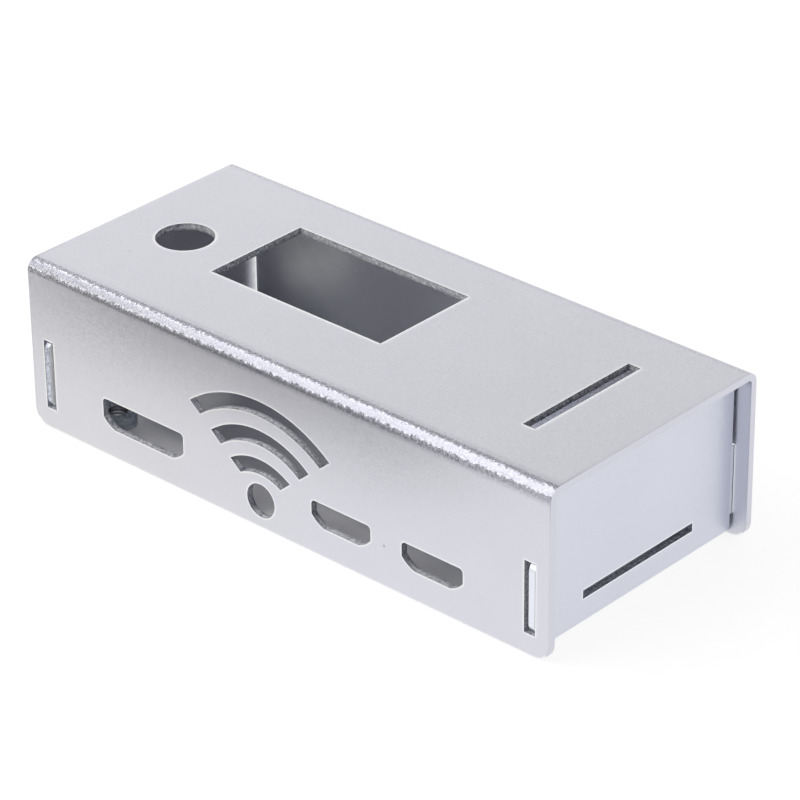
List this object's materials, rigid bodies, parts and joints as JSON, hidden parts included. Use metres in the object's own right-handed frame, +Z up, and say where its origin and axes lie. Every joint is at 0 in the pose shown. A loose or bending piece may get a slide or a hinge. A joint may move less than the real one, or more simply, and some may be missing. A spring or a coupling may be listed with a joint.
{
  "type": "aluminium single-board computer case",
  "caption": "Folded sheet aluminium case for a small single-board computer, with port openings, a display window, an antenna hole and signal-shaped vents.",
  "frame": {"origin": "middle of the footprint, on the surface that the case stands on", "axes": "+X along the case with the ribbon cable slots at its +X end, the ports face -Y, +Z up through the display window"},
  "size_m": [0.0742, 0.0324, 0.02],
  "materials": {
    "sheet": "fine blasted and clear anodised",
    "standoff": "plated steel"
  },
  "bodies": {
    "root": {"cover": "sheet", "tray": "sheet", "standoffs": "standoff"}
  },
  "joints": []
}
